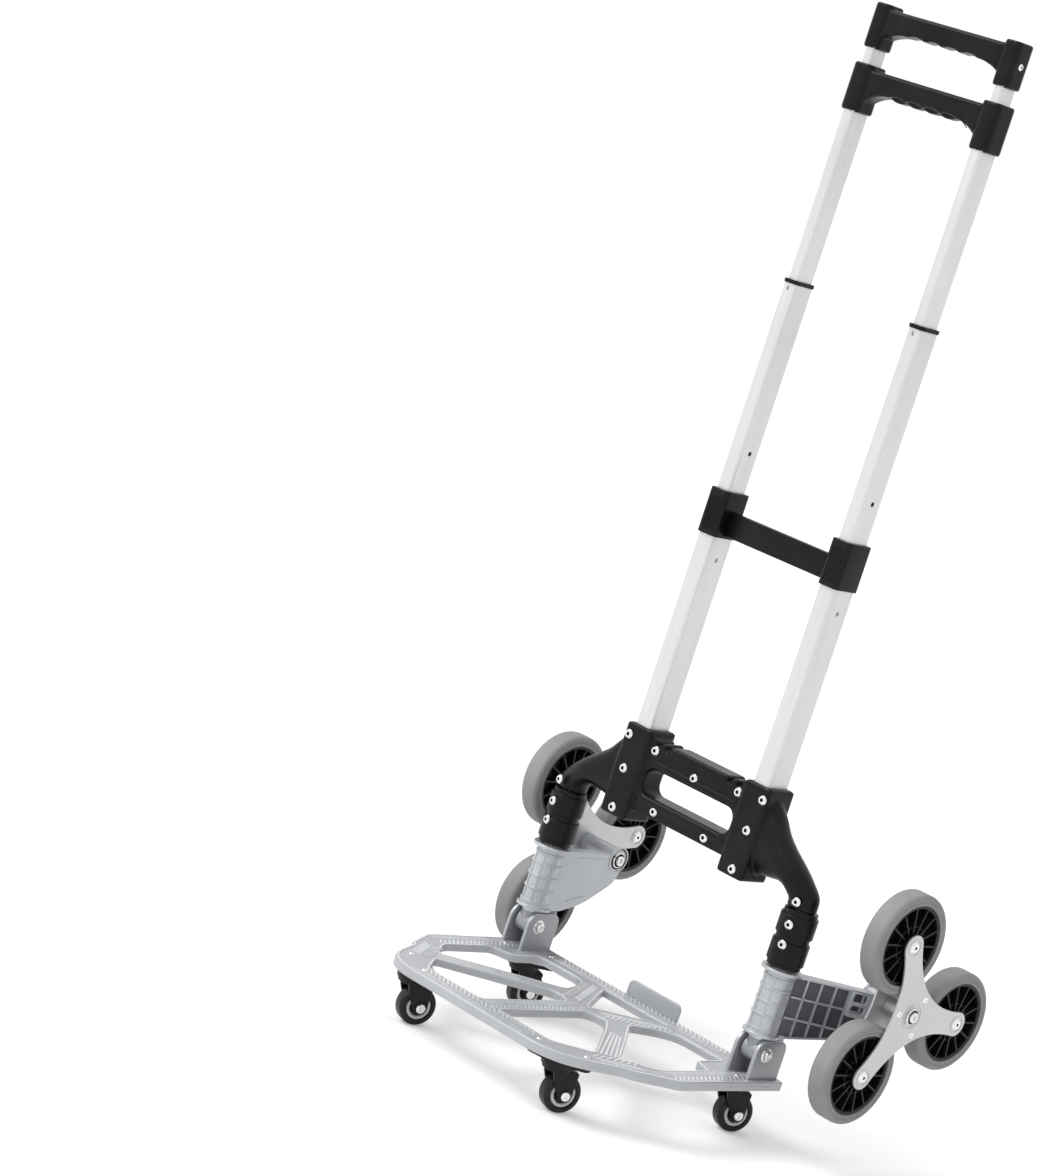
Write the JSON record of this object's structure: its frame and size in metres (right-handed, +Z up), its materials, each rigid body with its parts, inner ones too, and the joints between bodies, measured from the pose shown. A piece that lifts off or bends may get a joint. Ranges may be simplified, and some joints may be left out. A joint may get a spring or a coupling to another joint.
{
  "type": "folding stair-climbing hand truck",
  "caption": "Folding hand truck with a telescoping handle, a fold-up toe plate on swivel casters and swing-in stair-climbing wheel stars.",
  "frame": {"origin": "on the floor, below the middle of the outline of the unfolded truck", "axes": "+Z up along the handle, -Y towards the front edge of the toe plate, +X to the truck's right seen from the front"},
  "size_m": [0.508, 0.4678, 1.109],
  "materials": {
    "aluminium_tube": "satin anodised",
    "cast_alloy": "satin silver paint on a casting",
    "star_alloy": "satin silver paint",
    "plate_alloy": "satin silver, die cast",
    "black_plastic": "satin moulded nylon",
    "hub_plastic": "moulded",
    "black_steel": "satin black coated pressed steel",
    "tyre_rubber": "matte gray",
    "caster_tread": "satin black",
    "steel_bolts": "bright zinc"
  },
  "bodies": {
    "frame": {"outer_tube_left": "aluminium_tube", "outer_tube_right": "aluminium_tube", "collar": "black_plastic", "casting_front": "black_plastic", "casting_rear": "black_plastic", "leg_tube_left": "aluminium_tube", "leg_tube_right": "aluminium_tube", "clamp_sleeve_left": "black_plastic", "clamp_sleeve_right": "black_plastic", "hinge_bolt_left": "steel_bolts", "hinge_bolt_right": "steel_bolts"},
    "middle_stage": {"middle_tube_left": "aluminium_tube", "middle_tube_right": "aluminium_tube", "middle_cap_left": "black_plastic", "middle_cap_right": "black_plastic"},
    "inner_stage": {"inner_tube_left": "aluminium_tube", "inner_tube_right": "aluminium_tube", "lower_grip": "black_plastic"},
    "top_stage": {"top_tube_left": "aluminium_tube", "top_tube_right": "aluminium_tube", "upper_grip": "black_plastic"},
    "release": {"release_bar": "black_plastic"},
    "folding_plate": {"toe_plate": "plate_alloy", "caster_mount_front_left": "black_steel", "caster_mount_front_right": "black_steel", "caster_mount_back_left": "black_steel", "caster_mount_back_right": "black_steel"},
    "arm_left": {"wheel_arm_left": "cast_alloy", "hub_bolt_left": "steel_bolts"},
    "star_left": {"star_outer_left": "star_alloy", "star_inner_left": "star_alloy"},
    "wheel_left_1": {"wheel_hub_left_1": "hub_plastic", "wheel_tyre_left_1": "tyre_rubber"},
    "wheel_left_2": {"wheel_hub_left_2": "hub_plastic", "wheel_tyre_left_2": "tyre_rubber"},
    "wheel_left_3": {"wheel_hub_left_3": "hub_plastic", "wheel_tyre_left_3": "tyre_rubber"},
    "arm_right": {"wheel_arm_right": "cast_alloy", "hub_bolt_right": "steel_bolts"},
    "star_right": {"star_outer_right": "star_alloy", "star_inner_right": "star_alloy"},
    "wheel_right_1": {"wheel_hub_right_1": "hub_plastic", "wheel_tyre_right_1": "tyre_rubber"},
    "wheel_right_2": {"wheel_hub_right_2": "hub_plastic", "wheel_tyre_right_2": "tyre_rubber"},
    "wheel_right_3": {"wheel_hub_right_3": "hub_plastic", "wheel_tyre_right_3": "tyre_rubber"},
    "caster_front_left": {"caster_fork_front_left": "black_steel", "caster_axle_front_left": "steel_bolts"},
    "caster_roller_front_left": {"caster_wheel_front_left": "caster_tread"},
    "caster_front_right": {"caster_fork_front_right": "black_steel", "caster_axle_front_right": "steel_bolts"},
    "caster_roller_front_right": {"caster_wheel_front_right": "caster_tread"},
    "caster_back_left": {"caster_fork_back_left": "black_steel", "caster_axle_back_left": "steel_bolts"},
    "caster_roller_back_left": {"caster_wheel_back_left": "caster_tread"},
    "caster_back_right": {"caster_fork_back_right": "black_steel", "caster_axle_back_right": "steel_bolts"},
    "caster_roller_back_right": {"caster_wheel_back_right": "caster_tread"}
  },
  "joints": [
    {"name": "middle_slide", "type": "slide", "parent": "frame", "child": "middle_stage", "axis": [0, 0, 1], "range_m": [-0.218, 0]},
    {"name": "inner_slide", "type": "slide", "parent": "middle_stage", "child": "inner_stage", "axis": [0, 0, 1], "range_m": [-0.176, 0]},
    {"name": "top_slide", "type": "slide", "parent": "inner_stage", "child": "top_stage", "axis": [0, 0, 1], "range_m": [0, 0.13]},
    {"name": "release_squeeze", "type": "slide", "parent": "inner_stage", "child": "release", "axis": [0, 0, 1], "range_m": [0, 0.004], "stiffness_N_per_m": 600},
    {"name": "plate_fold", "type": "hinge", "parent": "frame", "child": "folding_plate", "pos_m": [-0.01775, 0.00906, 0.091], "axis": [-1, 0, 0], "range_deg": [0, 90]},
    {"name": "arm_fold_left", "type": "hinge", "parent": "frame", "child": "arm_left", "pos_m": [-0.18375, 0.00906, 0.171], "axis": [0, 0, -1], "range_deg": [0, 90]},
    {"name": "star_spin_left", "type": "hinge", "parent": "arm_left", "child": "star_left", "pos_m": [-0.18375, 0.10106, 0.171], "axis": [1, 0, 0], "continuous": true},
    {"name": "wheel_spin_left_1", "type": "hinge", "parent": "star_left", "child": "wheel_left_1", "pos_m": [-0.18375, 0.18028, 0.18213], "axis": [1, 0, 0], "continuous": true},
    {"name": "wheel_spin_left_2", "type": "hinge", "parent": "star_left", "child": "wheel_left_2", "pos_m": [-0.18375, 0.05181, 0.23404], "axis": [1, 0, 0], "continuous": true},
    {"name": "wheel_spin_left_3", "type": "hinge", "parent": "star_left", "child": "wheel_left_3", "pos_m": [-0.18375, 0.07109, 0.09682], "axis": [1, 0, 0], "continuous": true},
    {"name": "arm_fold_right", "type": "hinge", "parent": "frame", "child": "arm_right", "pos_m": [0.14825, 0.00906, 0.171], "axis": [0, 0, 1], "range_deg": [0, 90]},
    {"name": "star_spin_right", "type": "hinge", "parent": "arm_right", "child": "star_right", "pos_m": [0.14825, 0.10106, 0.171], "axis": [1, 0, 0], "continuous": true},
    {"name": "wheel_spin_right_1", "type": "hinge", "parent": "star_right", "child": "wheel_right_1", "pos_m": [0.14825, 0.18076, 0.16403], "axis": [1, 0, 0], "continuous": true},
    {"name": "wheel_spin_right_2", "type": "hinge", "parent": "star_right", "child": "wheel_right_2", "pos_m": [0.14825, 0.06725, 0.2435], "axis": [1, 0, 0], "continuous": true},
    {"name": "wheel_spin_right_3", "type": "hinge", "parent": "star_right", "child": "wheel_right_3", "pos_m": [0.14825, 0.05518, 0.10547], "axis": [1, 0, 0], "continuous": true},
    {"name": "caster_swivel_front_left", "type": "hinge", "parent": "folding_plate", "child": "caster_front_left", "pos_m": [-0.12375, -0.20394, 0.045], "axis": [0, 0, 1], "continuous": true},
    {"name": "caster_roll_front_left", "type": "hinge", "parent": "caster_front_left", "child": "caster_roller_front_left", "pos_m": [-0.11965, -0.19266, 0.02], "axis": [0.9397, -0.342, 0], "continuous": true},
    {"name": "caster_swivel_front_right", "type": "hinge", "parent": "folding_plate", "child": "caster_front_right", "pos_m": [0.08825, -0.20394, 0.045], "axis": [0, 0, 1], "continuous": true},
    {"name": "caster_roll_front_right", "type": "hinge", "parent": "caster_front_right", "child": "caster_roller_front_right", "pos_m": [0.09235, -0.19266, 0.02], "axis": [0.9397, -0.342, 0], "continuous": true},
    {"name": "caster_swivel_back_left", "type": "hinge", "parent": "folding_plate", "child": "caster_back_left", "pos_m": [-0.17075, 0.00806, 0.045], "axis": [0, 0, 1], "continuous": true},
    {"name": "caster_roll_back_left", "type": "hinge", "parent": "caster_back_left", "child": "caster_roller_back_left", "pos_m": [-0.16665, 0.01934, 0.02], "axis": [0.9397, -0.342, 0], "continuous": true},
    {"name": "caster_swivel_back_right", "type": "hinge", "parent": "folding_plate", "child": "caster_back_right", "pos_m": [0.13525, 0.00806, 0.045], "axis": [0, 0, 1], "continuous": true},
    {"name": "caster_roll_back_right", "type": "hinge", "parent": "caster_back_right", "child": "caster_roller_back_right", "pos_m": [0.13935, 0.01934, 0.02], "axis": [0.9397, -0.342, 0], "continuous": true}
  ]
}
